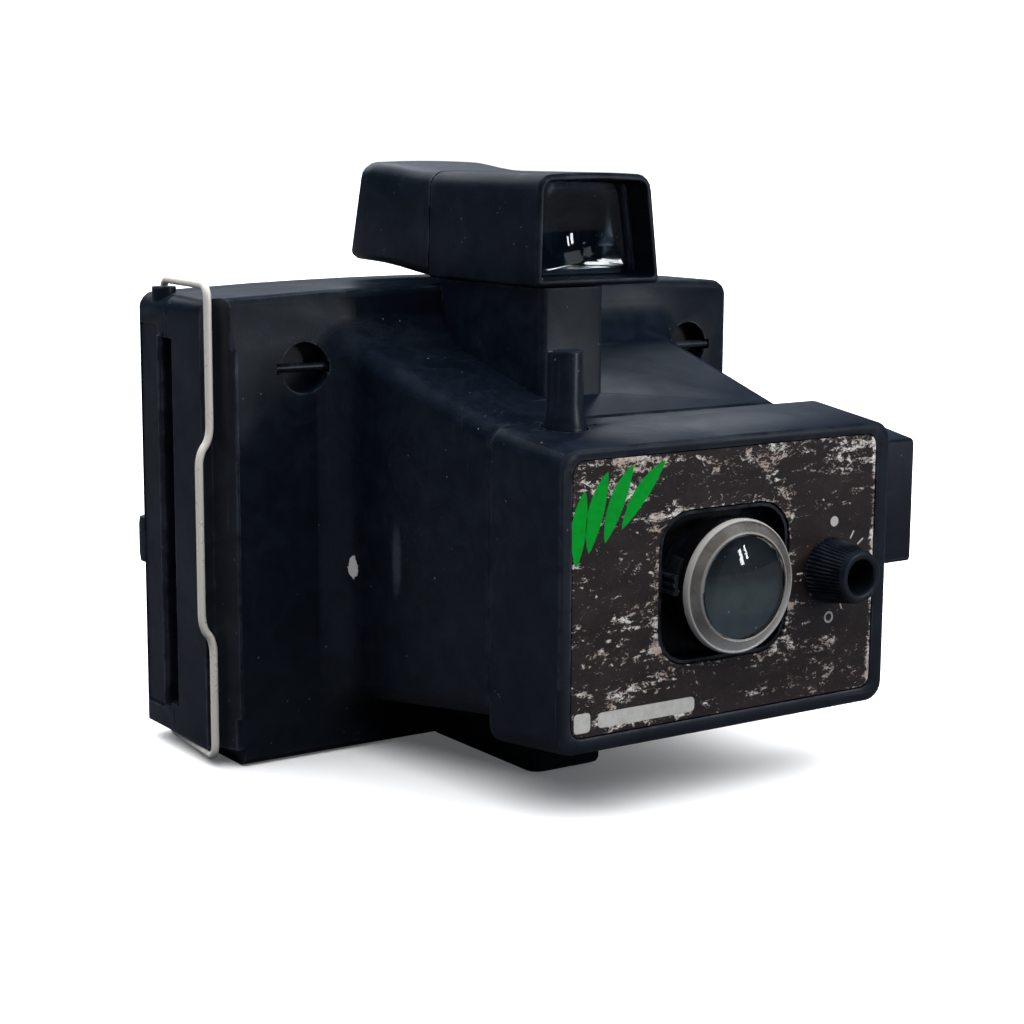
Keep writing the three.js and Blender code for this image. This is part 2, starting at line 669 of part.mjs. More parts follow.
// ---------------------------------------------------------------- film path
function rollerFrame() {
  const ends = [[9, 11.2], [108.8, 111]].map(([from, to]) => {
    const outline = rounded(rectangle(rollers.x - 7.6, rollers.x + 7.6, 10.5, 36.5), 3, 3);
    const cheek = slab(atZ, outline, from, to);
    const holes = [rollers.front, rollers.rear].map((y) =>
      disc("z", rollers.x, y, rollers.journal + 0.3, from - 1, to + 1, 20));
    return cut(cheek, ...holes);
  });
  const web = block(rollers.x - 7.6, rollers.x + 7.6, 10.5, 12, 9.5, 110.5);
  return join(web, ...ends);
}

function spreadRoller(y) {
  const { bottom, top, radius, journal, x } = rollers;
  return turned("z", x, y, [
    [0, 9.2], [journal, 9.2], [journal, bottom], [radius - 0.5, bottom], [radius, bottom + 0.5],
    [radius, top - 0.5], [radius - 0.5, top], [journal, top], [journal, 110.8], [0, 110.8],
  ], 28);
}

// ---------------------------------------------------------------- back door
function backDoor() {
  const { parting, back } = flange;
  const outer = loft([
    atY(flangeOutline(0, 0.2), parting + gap),
    atY(flangeOutline(0, 0.3), back - 4),
    atY(flangeOutline(1.2, 0.3), back - 1.2),
    atY(flangeOutline(3.6, 0.3), back),
  ]);
  const inner = slab(atY, rounded(rectangle(-79.2, 79.2, 3.4, 115), 3, 3), parting - 1, back - 2.6);
  const { bottom, top, height } = exitSlot;
  const slot = block(-90, -70, parting - 1, parting + height / 2, bottom, top);
  const lower = block(-90, latchBay.right, parting - 2, back + 4, -2, latchBay.ceiling);
  const gripOutline = rounded(rectangle(30.5, 42, 10, 111), 1.5, 3);
  const grip = slab(atX, gripOutline, -flange.half - 1, -flange.half + 0.7);
  const panel = loft([
    atY(rounded(rectangle(-54, 74, 10, 110), 6, 4), back - 0.5),
    atY(rounded(rectangle(-54, 74, 10, 110), 6, 4), back + 0.6),
    atY(rounded(rectangle(-53, 73, 11, 109), 5, 4), back + 1.2),
  ]);
  const pull = loft([
    atZ(rounded(rectangle(-81.4, -76, 42, 46.6), [1, 1.6, 1.6, 1], 3), 47),
    atZ(rounded(rectangle(-81.4, -76, 42, 47.3), [1, 1.6, 1.6, 1], 3), 49),
    atZ(rounded(rectangle(-81.4, -76, 42, 47.3), [1, 1.6, 1.6, 1], 3), 57),
    atZ(rounded(rectangle(-81.4, -76, 42, 46.6), [1, 1.6, 1.6, 1], 3), 59),
  ]);
  const bossLow = block(-80.5, latchBay.right + 1.5, 28.5, 40.5, latchBay.ceiling - 1, 8.4);
  const bossTop = disc("z", bail.x, bail.y, 3.1, 112, 120.5, 24);
  let door = cut(outer, inner, slot, grip);
  door = join(door, panel, pull, bossLow, bossTop);
  door = cut(
    door,
    lower,
    disc("z", bail.x, bail.y, bail.wire + 0.4, 114, 124, 16),
    disc("z", bail.x, bail.y, bail.wire + 0.4, 2, 7.6, 16),
  );
  return join(door, ...hingeKnuckles([[26.4, 49.6], [70.4, 93.6]], 1));
}

function hingePin() {
  return turned("z", hinge.x, hinge.y, [[0, 5], [hinge.radius - 0.3, 5], [hinge.radius - 0.3, 5.6],
    [hinge.pin, 5.7], [hinge.pin, 115], [0, 115]], 20);
}

// Bowed leaf that pushes the film pack forwards.
function packSpring(z) {
  const profile = [];
  const back = flange.back - 3;
  for (let i = 0; i <= 12; i++) {
    const t = i / 12;
    profile.push(new THREE.Vector2(-34 + 88 * t, back - 6.4 * Math.sin(Math.PI * t) ** 1.4));
  }
  for (let i = 12; i >= 0; i--) profile.push(new THREE.Vector2(profile[i].x, profile[i].y - 0.6));
  const shape = new THREE.Shape(profile);
  const g = new THREE.ExtrudeGeometry(shape, { depth: 14, bevelEnabled: false });
  g.translate(0, 0, z - 7);
  return clean(g);
}

// ---------------------------------------------------------------- wire latch
function bailWire() {
  const { x, y, armTop, armBottom, reach } = bail;
  const p = (a, b, c) => new THREE.Vector3(a, b, c);
  const path = bent([
    p(x, y, 116.2),
    p(x, y, armTop),
    p(-81.1, reach, armTop),
    p(-81.1, reach, 84.6),
    p(-84.2, reach, 80.6),
    p(-84.2, reach, 37),
    p(-81.1, reach, 33),
    p(-81.1, reach, armBottom),
    p(x, y, armBottom),
    p(x, y, 6.9),
  ], 2.6);
  return wireAlong(path, bail.wire);
}

// ---------------------------------------------------------------- power and electrics
function batteryHolder() {
  const outer = block(-34.6, -10.6, -83, -68.8, 20.2, 67.4);
  const bays = cell.stations.map((x) => disc("z", x, -75.4, cell.radius + 0.35, 21.5, 66.3, 28));
  const mouth = block(-34, -11.9, -79.8, -60, 23, 65);
  return cut(outer, ...bays, mouth, block(-33, -13, -82, -70, 10, 22));
}

function batteryCell(x, up) {
  const from = 21.9;
  const to = from + cell.length;
  const nose = up ? [[1.9, to - 1], [1.9, to], [0, to]] : [[cell.radius, to], [0, to]];
  const dimple = [[0, from], [1.9, from], [1.9, from + 1], [cell.radius, from + 1]];
  const tail = up ? [[0, from], [cell.radius, from]] : dimple;
  const shoulder = up ? [[cell.radius, to - 1]] : [];
  return turned("z", x, -75.4, [...tail, ...shoulder, ...nose], 28);
}

function batteryCover() {
  const plateSolid = loft([
    atZ(rounded(rectangle(-33.7, -11.3, -82.2, -64.8), 0.8, 2), 16.6),
    atZ(rounded(rectangle(-33.7, -11.3, -82.2, -64.8), 0.8, 2), 18),
  ]);
  return plateSolid;
}

function circuitBoard() {
  const y = -64.6;
  const board = block(35, 59, y, y + 1.4, 27, 81);
  const places = [[38, 42, 33, 43], [46, 54, 60, 66], [40, 45, 70, 77], [48, 56, 34, 42]];
  const parts = places.map(([a, b, c, d], i) => block(a, b, y - 3 - i, y + 0.2, c, d));
  return join(board, ...parts);
}

function shutterMagnet() {
  const y = housing.front + well.depth + 8;
  return join(
    disc("z", 0, y + 2.6, 3.9, 36, 50, 20),
    block(-5, 5, y - 1.4, y + 5, 34.6, 36.4),
    block(-5, 5, y - 1.4, y + 5, 49.6, 51.4),
  );
}

// ---------------------------------------------------------------- assembly
add("body_shell", bodyShell(), blackShell);
add("front_housing", frontHousing(), blackShell);
add("face_plate", facePlate(), faceFilm);
add("lens_well", lensWell(), blackMatt);
add("lens", lens(), clearPlastic);
add("focus_lever", focusLever(), blackSatin);
add("shutter_plate", shutterPlate(), springSteel);
add("shutter_blade", shutterBlade(), blackMatt);
add("light_dark_knob", knobSolid(), blackSatin);
add("photocell", disc("y", knob.x, knob.z, 3.9, housing.front + 5, housing.front + 8.5, 24), sensorGrey);
add("shutter_rod", shutterRod(), blackSatin);
add("release_spring", releaseSpring(), springSteel);
add("finder_body", finderBody(), blackShell);
add("finder_front_lens", finderFrontLens(), clearPlastic);
add("finder_eye_lens", finderEyeLens(), clearPlastic);
add("eyepiece_hood", eyepieceHood(), blackSatin);
add("flash_socket", flashSocket(), blackShell);
add("flash_contact_lower", flashContact(58.5, 64), brass);
add("flash_contact_upper", flashContact(72, 77.5), brass);
add("strap_pin_left", strapPin(strap.left), blackSatin);
add("strap_pin_right", strapPin(strap.right), blackSatin);
add("film_gate", filmGate(), blackMatt);
gateScrews().forEach(([x, z], i) => add(`gate_screw_${i + 1}`, screw(x, z), springSteel));
add("roller_frame", rollerFrame(), springSteel);
add("spread_roller_front", spreadRoller(rollers.front), steel);
add("spread_roller_rear", spreadRoller(rollers.rear), steel);
add("back_door", backDoor(), blackShell);
add("hinge_pin", hingePin(), steel);
add("pack_spring_lower", packSpring(38), springSteel);
add("pack_spring_upper", packSpring(82), springSteel);
add("bail_wire", bailWire(), steel);
add("battery_holder", batteryHolder(), blackMatt);
add("battery_left", batteryCell(cell.stations[0], true), cellJacket);
add("battery_right", batteryCell(cell.stations[1], false), cellJacket);
add("battery_cover", batteryCover(), blackShell);
add("circuit_board", circuitBoard(), boardGreen);
add("shutter_magnet", shutterMagnet(), coilBrown);

// The origin sits on the table under the middle of the overall box.
const bounds = new THREE.Box3().setFromObject(group);
group.children.forEach((mesh) =>
  mesh.geometry.translate(
    -(bounds.min.x + bounds.max.x) / 2, -(bounds.min.y + bounds.max.y) / 2, -bounds.min.z));

export default group;
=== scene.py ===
import json
import math

import bmesh
import bpy
from mathutils import Matrix, Vector


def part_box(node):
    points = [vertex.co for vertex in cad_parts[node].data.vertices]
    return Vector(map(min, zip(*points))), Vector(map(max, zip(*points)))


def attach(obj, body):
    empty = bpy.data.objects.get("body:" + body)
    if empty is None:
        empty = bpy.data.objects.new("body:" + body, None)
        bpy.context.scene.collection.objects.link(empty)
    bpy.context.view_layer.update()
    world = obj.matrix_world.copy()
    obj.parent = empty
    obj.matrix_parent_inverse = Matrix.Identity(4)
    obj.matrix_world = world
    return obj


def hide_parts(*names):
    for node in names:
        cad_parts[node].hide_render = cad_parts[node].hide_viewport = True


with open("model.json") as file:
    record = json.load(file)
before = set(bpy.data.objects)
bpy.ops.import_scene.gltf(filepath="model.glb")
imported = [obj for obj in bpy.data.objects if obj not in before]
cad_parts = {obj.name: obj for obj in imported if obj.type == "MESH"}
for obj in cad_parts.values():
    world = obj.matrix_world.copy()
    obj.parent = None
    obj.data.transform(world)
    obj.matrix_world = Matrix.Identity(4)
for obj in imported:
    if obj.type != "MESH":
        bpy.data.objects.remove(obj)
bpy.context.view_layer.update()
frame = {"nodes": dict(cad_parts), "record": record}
record = frame["record"]
BODY_OF = {n: b for b, ns in record["behaviour"]["bodies"].items() for n in ns}
MM = 0.001

# The drawing has its zero on the flange's front face. Two known places tie it to the row frame:
# the left edge of the face plate and the front of the exposure knob.
PLATE_LEFT = -34.7
KNOB_FRONT = -98.2
face_low, face_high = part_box("face_plate")
well_low, well_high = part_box("lens_well")
lens_low, lens_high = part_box("lens")
knob_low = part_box("light_dark_knob")[0]
SHIFT_X = face_low.x - PLATE_LEFT * MM
SHIFT_Y = knob_low.y - KNOB_FRONT * MM


def at(x, y, z):
    """Drawing millimetres to the row frame."""
    return Vector((x * MM + SHIFT_X, y * MM + SHIFT_Y, z * MM))


# ---------------------------------------------------------------- camera
FOCAL_PIXELS = 2139.2
PICTURE_PIXELS = 1024
SENSOR = 36
CAMERA_PLACE = (-315.956, -473.469, 156.147)
AZIMUTH, TILT, ROLL = 34.3426, 9.6649, 0.3155


def make_camera():
    """The photo's viewpoint; azimuth, tilt and roll are in degrees."""
    cam = bpy.data.objects.new("view_camera", bpy.data.cameras.new("view_camera"))
    bpy.context.scene.collection.objects.link(cam)
    bpy.context.scene.camera = cam
    cam.data.sensor_width = SENSOR
    cam.data.lens = SENSOR * FOCAL_PIXELS / PICTURE_PIXELS
    cam.data.clip_start = 0.01
    cam.data.clip_end = 50
    az, el, roll = math.radians(AZIMUTH), math.radians(TILT), math.radians(ROLL)
    forward = Vector((math.sin(az) * math.cos(el), math.cos(az) * math.cos(el), -math.sin(el)))
    turn = forward.to_track_quat("-Z", "Y").to_matrix().to_4x4()
    cam.matrix_world = Matrix.Translation(at(*CAMERA_PLACE)) @ turn @ Matrix.Rotation(roll, 4, "Z")


make_camera()
scene = bpy.context.scene
scene.view_settings.view_transform = "Standard"
scene.view_settings.look = "None"


# ---------------------------------------------------------------- material building
def fill(tree, socket, value):
    """Links a socket to another, or sets its value; a colour may be given with three numbers."""
    if isinstance(value, bpy.types.NodeSocket):
        tree.links.new(value, socket)
    elif isinstance(value, tuple) and len(value) == 3:
        socket.default_value = (*value, 1)
    else:
        socket.default_value = value


class Paint:
    """A material with short calls for the nodes it needs."""

    def __init__(self, name, **sockets):
        """Starts from a plain shader; sockets are its values, with _ for a space."""
        self.material = bpy.data.materials.new(name)
        self.material.use_nodes = True
        self.tree = self.material.node_tree
        self.shader = self.tree.nodes["Principled BSDF"]
        for key, value in sockets.items():
            self.set(key.replace("_", " "), value)
        coords = self.tree.nodes.new("ShaderNodeTexCoord")
        self.where = coords.outputs["Object"]

    def set(self, socket, value):
        """Feeds one socket of the shader."""
        fill(self.tree, self.shader.inputs[socket], value)

    def node(self, kind, *ins, **props):
        """Any node, with its first inputs in order and its settings by name."""
        n = self.tree.nodes.new(kind)
        for key, value in props.items():
            setattr(n, key, value)
        for i, value in enumerate(ins):
            if isinstance(value, bpy.types.NodeSocket):
                self.tree.links.new(value, n.inputs[i])
            else:
                n.inputs[i].default_value = value
        return n

    def stretch(self, x, y, z, source=None, shift=(0, 0, 0)):
        """Coordinates scaled each way and moved."""
        n = self.node("ShaderNodeMapping")
        self.tree.links.new(source or self.where, n.inputs["Vector"])
        n.inputs["Scale"].default_value = (x, y, z)
        n.inputs["Location"].default_value = shift
        return n.outputs[0]

    def noise(self, scale, detail, rough, source=None, warp=0.0):
        """Cloudy noise about 0.5, with `scale` cells to the metre."""
        n = self.tree.nodes.new("ShaderNodeTexNoise")
        self.tree.links.new(source or self.where, n.inputs["Vector"])
        n.inputs["Scale"].default_value = scale
        n.inputs["Detail"].default_value = detail
        n.inputs["Roughness"].default_value = rough
        n.inputs["Distortion"].default_value = warp
        return n.outputs[0]

    def cells(self, scale, feature="F1"):
        """Scattered cells, `scale` to the metre."""
        n = self.tree.nodes.new("ShaderNodeTexVoronoi")
        n.feature = feature
        self.tree.links.new(self.where, n.inputs["Vector"])
        n.inputs["Scale"].default_value = scale
        return n

    def calc(self, operation, a, b=0.0):
        """Arithmetic on one or two values."""
        return self.node("ShaderNodeMath", a, b, operation=operation).outputs[0]

    def plus(self, a, b):
        return self.calc("ADD", a, b)

    def minus(self, a, b):
        return self.calc("SUBTRACT", a, b)

    def times(self, a, b):
        return self.calc("MULTIPLY", a, b)

    def most(self, a, b):
        return self.calc("MAXIMUM", a, b)

    def size(self, a):
        return self.calc("ABSOLUTE", a)

    def span(self, value, low, high, to_low=0.0, to_high=1.0):
        """Eases from to_low to to_high while the value goes from low to high."""
        n = self.tree.nodes.new("ShaderNodeMapRange")
        n.interpolation_type = "SMOOTHSTEP"
        self.tree.links.new(value, n.inputs["Value"])
        n.inputs["From Min"].default_value = low
        n.inputs["From Max"].default_value = high
        n.inputs["To Min"].default_value = to_low
        n.inputs["To Max"].default_value = to_high
        return n.outputs[0]

    def mix(self, factor, a, b):
        """Colour a at factor 0, colour b at factor 1."""
        n = self.tree.nodes.new("ShaderNodeMix")
        n.data_type = "RGBA"
        for k, value in ((0, factor), (6, a), (7, b)):
            fill(self.tree, n.inputs[k], value)
        return n.outputs[2]

    def axes(self):
        """The three coordinates, in metres."""
        n = self.tree.nodes.new("ShaderNodeSeparateXYZ")
        self.tree.links.new(self.where, n.inputs[0])
        return n.outputs[0], n.outputs[1], n.outputs[2]

    def let_lamps_through(self, tint):
        """Shadow rays pass as through thin tinted sheet, so that what lies behind is lit."""
        out = self.tree.nodes["Material Output"]
        rays = self.tree.nodes.new("ShaderNodeLightPath")
        open_way = self.tree.nodes.new("ShaderNodeBsdfTransparent")
        open_way.inputs[0].default_value = (*tint, 1)
        both = self.tree.nodes.new("ShaderNodeMixShader")
        self.tree.links.new(rays.outputs["Is Shadow Ray"], both.inputs[0])
        self.tree.links.new(self.shader.outputs[0], both.inputs[1])
        self.tree.links.new(open_way.outputs[0], both.inputs[2])
        self.tree.links.new(both.outputs[0], out.inputs["Surface"])

    def bump(self, height, distance, strength):
        """A surface raised by height, for the Normal socket."""
        n = self.tree.nodes.new("ShaderNodeBump")
        n.inputs["Distance"].default_value = distance
        n.inputs["Strength"].default_value = strength
        self.tree.links.new(height, n.inputs["Height"])
        return n.outputs[0]


def specks(p, scale, size, share):
    """Small scattered dots: 1 inside a dot, 0 elsewhere."""
    v = p.cells(scale)
    inside = p.span(v.outputs["Distance"], size, size * 0.4)
    pick = p.node("ShaderNodeSeparateColor", v.outputs["Color"]).outputs[0]
    chosen = p.calc("GREATER_THAN", pick, 1 - share)
    return p.times(inside, chosen)


def hairlines(p, scale, along):
    """Thin scuffs that run along one axis."""
    stretch = [scale, scale, scale]
    stretch[along] = scale * 0.03
    return p.span(p.noise(1.0, 2.0, 0.5, p.stretch(*stretch), 0.3), 0.70, 0.76)


def worn_edges(p, patchy):
    """1 in places along outward edges, where the surface leans away from its rounded self."""
    surface = p.node("ShaderNodeNewGeometry")
    rounded = p.node("ShaderNodeBevel")
    rounded.samples = 4
    rounded.inputs["Radius"].default_value = 1.2 * MM
    turn = p.node("ShaderNodeVectorMath", rounded.outputs[0], surface.outputs["Normal"],
                  operation="DOT_PRODUCT").outputs["Value"]
    edge = p.times(p.span(turn, 0.985, 0.90), p.span(surface.outputs["Pointiness"], 0.505, 0.54))
    return p.times(edge, patchy)


def scar(p, base, middle, reach, shade, soft):
    """A ragged patch of another shade; reach is its half size each way in millimetres."""
    away = p.node("ShaderNodeVectorMath", p.where, tuple(middle), operation="SUBTRACT").outputs[0]
    away = p.stretch(*(1 / (r * MM) for r in reach), source=away)
    far = p.node("ShaderNodeVectorMath", away, operation="LENGTH").outputs["Value"]
    ragged = p.plus(far, p.times(p.noise(420, 4, 0.7), 0.9))
    return p.mix(p.span(ragged, 1.25 + soft, 1.25 - soft), base, shade)


def moulded(name, tone, rough, grain=1.0, rub=1.0, gloss=0.5, marks=()):
    """Moulded black plastic: fine spark texture, cloudy sheen, dust, scuffs and rubbed edges."""
    p = Paint(name, IOR=1.5)
    p.set("Specular IOR Level", gloss)
    cloud = p.noise(38, 4, 0.6, warp=0.6)
    fine = p.noise(2300, 2, 0.6)
    pits = p.noise(900, 3, 0.6)
    film = p.noise(120, 5, 0.65, warp=1.0)
    lighter = tuple(c * 1.8 + 0.002 for c in tone)
    base = p.mix(p.span(film, 0.35, 0.75), tone, lighter)
    worn = p.times(worn_edges(p, p.span(film, 0.38, 0.62)), 0.55 * rub)
    base = p.mix(worn, base, (0.085, 0.098, 0.125))
    scuff = p.most(hairlines(p, 700, 0), hairlines(p, 640, 2))
    scuff = p.times(scuff, p.span(p.noise(22, 2, 0.5), 0.48, 0.66, 0.0, 0.5 * rub))
    base = p.mix(scuff, base, (0.07, 0.075, 0.085))
    lint = p.most(specks(p, 260, 0.11, 0.022), specks(p, 620, 0.17, 0.03))
    lint = p.times(lint, 0.40)
    base = p.mix(lint, base, (0.32, 0.31, 0.29))
    for mark in marks:
        base = scar(p, base, *mark)
    p.set("Base Color", base)
    r = p.plus(p.span(cloud, 0.3, 0.7, rough - 0.05, rough + 0.08), p.times(lint, 0.3))
    r = p.minus(r, p.times(worn, 0.12))
    p.set("Roughness", r)
    height = p.plus(p.times(fine, 0.6), p.times(pits, 0.5))
    p.set("Normal", p.bump(height, 0.00006 * grain, 0.5))
    return p.material


def metal(name, tone, rough, tarnish=0.4, dark=(0.12, 0.11, 0.1), share=1.0):
    """Plated metal with a fine grain and clouds of tarnish; share is how metallic it looks."""
    p = Paint(name, Metallic=share)
    stain = p.span(p.noise(160, 5, 0.65, warp=1.2), 0.48, 0.72, 0.0, tarnish)
    p.set("Base Color", p.mix(stain, tone, dark))
    p.set("Roughness", p.span(p.noise(300, 4, 0.6), 0.3, 0.7, rough - 0.06, rough + 0.12))
    p.set("Normal", p.bump(p.noise(1500, 3, 0.6), 0.00003, 0.45))
    return p.material


def clear(name, tint, ior, rough, scratch=1.0):
    """Clear moulded plastic with fine wiping marks and specks of dust; lamps shine through it."""
    p = Paint(name, IOR=ior)
    p.set("Base Color", tint)
    p.set("Transmission Weight", 1.0)
    marks = p.most(hairlines(p, 900, 0), hairlines(p, 800, 2))
    film = p.noise(180, 4, 0.6, warp=0.8)
    r = p.plus(p.span(film, 0.4, 0.75, rough, rough + 0.07), p.times(marks, 0.12 * scratch))
    p.set("Roughness", p.plus(r, p.times(specks(p, 700, 0.2, 0.04), 0.3)))
    p.set("Normal", p.bump(p.noise(70, 3, 0.5), 0.00005, 0.2 * scratch))
    p.let_lamps_through(tint)
    return p.material


def printed(name, tone, wear=1.0):
    """Screen-printed ink with pinholes and rubbed places."""
    p = Paint(name)
    p.set("Specular IOR Level", 0.12)
    mottled = p.noise(520, 4, 0.6)
    base = p.mix(p.span(mottled, 0.3, 0.75), tone, tuple(c * 0.82 for c in tone))
    holes = p.times(specks(p, 900, 0.22, 0.10 * wear), 0.8)
    rubbed = p.times(p.span(p.noise(340, 6, 0.7), 0.66, 0.7), 0.7 * wear)
    p.set("Base Color", p.mix(p.most(holes, rubbed), base, (0.05, 0.04, 0.035)))
    p.set("Roughness", p.span(mottled, 0.3, 0.7, 0.36, 0.52))
    p.set("Normal", p.bump(mottled, 0.00002, 0.4))
    return p.material


def worn_face():
    """Dark brown sheet, its coating flaked in short level streaks down to pale tan and silver."""
    p = Paint("worn_face")
    p.set("Specular IOR Level", 0.4)
    x, _, z = p.axes()
    middle = (well_low + well_high) / 2
    half = (well_high - well_low) / 2
    out_x = p.minus(p.size(p.minus(x, middle.x)), half.x)
    out_z = p.minus(p.size(p.minus(z, middle.z)), half.z)
    near_well = p.span(p.most(out_x, out_z), 0.0045, 0.0005)
    right_edge = p.span(p.minus(face_high.x, x), 0.0020, 0.0002)
    left_part = p.span(x, middle.x - half.x + 0.004, middle.x - half.x - 0.004)
    low_right = p.times(p.span(z, face_low.z + 0.020, face_low.z + 0.003), p.span(x, 0.016, 0.036))
    top_band = p.span(z, face_high.z - 0.014, face_high.z - 0.006)

    patches = p.noise(1.0, 2, 0.5, p.stretch(62, 1, 150), 0.5)
    streaks = p.noise(1.0, 3, 0.6, p.stretch(26, 1, 230, shift=(3.1, 0, 1.7)), 0.6)
    crumbs = p.noise(1.0, 7, 0.80, p.stretch(520, 1, 900), 0.9)
    lumps = p.noise(1.0, 5, 0.72, p.stretch(230, 1, 420, shift=(7, 0, 2)), 1.0)
    gather = p.times(p.span(patches, 0.50, 0.66), 0.070)
    gather = p.plus(gather, p.times(p.span(streaks, 0.50, 0.68), 0.070))
    places = ((near_well, 0.060), (right_edge, 0.11), (low_right, 0.050), (left_part, 0.022),
              (top_band, 0.030))
    for place, share in places:
        gather = p.plus(gather, p.times(place, share))
    level = p.plus(p.plus(p.times(crumbs, 0.62), p.times(lumps, 0.38)), gather)
    flake = p.span(level, 0.608, 0.632)

    tone = p.noise(160, 3, 0.6)
    cream = p.mix(p.span(tone, 0.40, 0.60), (0.56, 0.45, 0.37), (0.90, 0.86, 0.80))
    cream = p.mix(p.span(p.noise(1100, 4, 0.7), 0.42, 0.72, 0.0, 0.75), cream, (0.17, 0.13, 0.105))
    cream = p.mix(p.times(low_right, 0.6), cream, (0.36, 0.26, 0.24))
    ground = p.mix(p.span(p.noise(1.0, 5, 0.7, p.stretch(60, 1, 120), 0.8), 0.35, 0.7),
                   (0.0125, 0.0076, 0.0072), (0.0260, 0.0175, 0.0165))
    grit = p.span(p.noise(1900, 3, 0.7), 0.5, 0.75, 0.0, 0.5)
    ground = p.mix(grit, ground, (0.050, 0.040, 0.036))
    halo = p.span(level, 0.565, 0.630, 0.0, 0.40)
    ground = p.mix(halo, ground, (0.060, 0.044, 0.036))
    p.set("Base Color", p.mix(flake, ground, cream))
    sheen = p.span(p.noise(70, 4, 0.6), 0.3, 0.7, 0.36, 0.48)
    p.set("Roughness", p.plus(sheen, p.times(flake, 0.25)))
    height = p.minus(p.times(p.noise(1700, 3, 0.6), 0.35), flake)
    p.set("Normal", p.bump(height, 0.00006, 0.6))
    return p.material


def circuit():
    """Green board with paler tracks."""
    p = Paint("board_lacquer", Roughness=0.35)
    tracks = p.cells(260, "DISTANCE_TO_EDGE").outputs["Distance"]
    p.set("Base Color", p.mix(p.span(tracks, 0.05, 0.02), (0.012, 0.07, 0.03), (0.04, 0.16, 0.07)))
    p.set("Normal", p.bump(tracks, 0.00004, 0.5))
    return p.material


def wound():
    """Turns of lacquered copper wire."""
    p = Paint("coil_windings", Roughness=0.4)
    _, _, z = p.axes()
    turns = p.calc("SINE", p.times(z, 9000))
    p.set("Base Color", p.mix(p.span(turns, -1, 1), (0.10, 0.03, 0.012), (0.30, 0.11, 0.04)))
    p.set("Normal", p.bump(turns, 0.00008, 0.8))
    return p.material


def jacket():
    """Plain battery sleeve: slate below, copper-coloured above."""
    p = Paint("cell_jacket", Metallic=0.2)
    _, _, z = p.axes()
    upper = p.span(z, 0.0580, 0.0582)
    tone = p.mix(upper, (0.045, 0.075, 0.11), (0.42, 0.30, 0.15))
    smudge = p.span(p.noise(240, 4, 0.6), 0.5, 0.8, 0.0, 0.4)
    p.set("Base Color", p.mix(smudge, tone, (0.1, 0.1, 0.1)))
    p.set("Roughness", p.span(p.noise(90, 3, 0.5), 0.3, 0.7, 0.28, 0.42))
    p.set("Normal", p.bump(p.noise(1300, 2, 0.5), 0.00003, 0.3))
    return p.material


def lens_seat():
    """Dull disc behind the dome: near black above, blue-grey below; the paler lower half is a
    painted reflection of the pale floor.
    """
    p = Paint("lens_seat", Roughness=0.6)
    p.set("Specular IOR Level", 0.2)
    _, _, z = p.axes()
    middle = (lens_low + lens_high) / 2
    rise = p.plus(p.minus(z, middle.z), p.times(p.noise(60, 3, 0.5), 0.002))
    # Painted reflection: the lower half is made paler as if it mirrored the pale floor.
    lower = p.span(rise, 0.0040, -0.0008)
    cloud = p.span(p.noise(240, 4, 0.6), 0.3, 0.7)
    pale = p.mix(cloud, (0.036, 0.046, 0.056), (0.050, 0.062, 0.072))
    dark = p.mix(cloud, (0.008, 0.009, 0.012), (0.016, 0.017, 0.021))
    p.set("Base Color", p.mix(lower, dark, pale))
    p.set("Normal", p.bump(p.noise(2200, 2, 0.6), 0.00003, 0.4))
    return p.material


def hazy_rim():
    """Clear rim gone smoky: brown-grey haze with turning marks, a black rear, painted light on its
    lower right side and painted highlights along both edges.
    """
    p = Paint("lens_rim", IOR=1.49)
    x, y, z = p.axes()
    middle = (lens_low + lens_high) / 2
    dx, dz = p.minus(x, middle.x), p.minus(z, middle.z)
    away = p.calc("SQRT", p.plus(p.times(dx, dx), p.times(dz, dz)))
    # Painted light: the lower right part of the rim is made paler, where light shines through it.
    painted_low_light = p.span(p.minus(p.times(dx, 0.35), dz), 0.002, 0.014)
    cloud = p.span(p.noise(120, 4, 0.6, warp=0.8), 0.3, 0.72)
    haze = p.mix(cloud, (0.085, 0.076, 0.068), (0.160, 0.148, 0.134))
    haze = p.mix(p.times(painted_low_light, 0.85), haze, (0.66, 0.64, 0.61))
    turned = p.calc("SINE", p.times(away, 21000))
    haze = p.mix(p.span(turned, 0.2, 1.0, 0.0, 0.16), haze, (0.24, 0.22, 0.20))
    # Painted highlight: a bright line along the inner edge.
    painted_inner_glint = p.span(p.size(p.minus(away, 0.0131)), 0.0005, 0.0001, 0.0, 0.7)
    haze = p.mix(painted_inner_glint, haze, (0.42, 0.37, 0.32))
    # Painted highlight: a bright band along the outer edge.
    haze = p.mix(p.span(away, 0.0154, 0.0159, 0.0, 0.85), haze, (0.52, 0.50, 0.47))
    behind = p.span(p.minus(y, lens_low.y), 0.0052, 0.0056)
    p.set("Base Color", p.mix(behind, haze, (0.003, 0.003, 0.004)))
    p.set("Transmission Weight", 0.20)
    p.set("Coat Weight", 0.4)
    p.set("Coat Roughness", 0.06)
    p.set("Roughness", p.span(p.noise(200, 4, 0.6), 0.3, 0.7, 0.16, 0.30))
    p.set("Normal", p.bump(turned, 0.00001, 0.15))
    return p.material


INK = (0.0020, 0.0036, 0.0070)
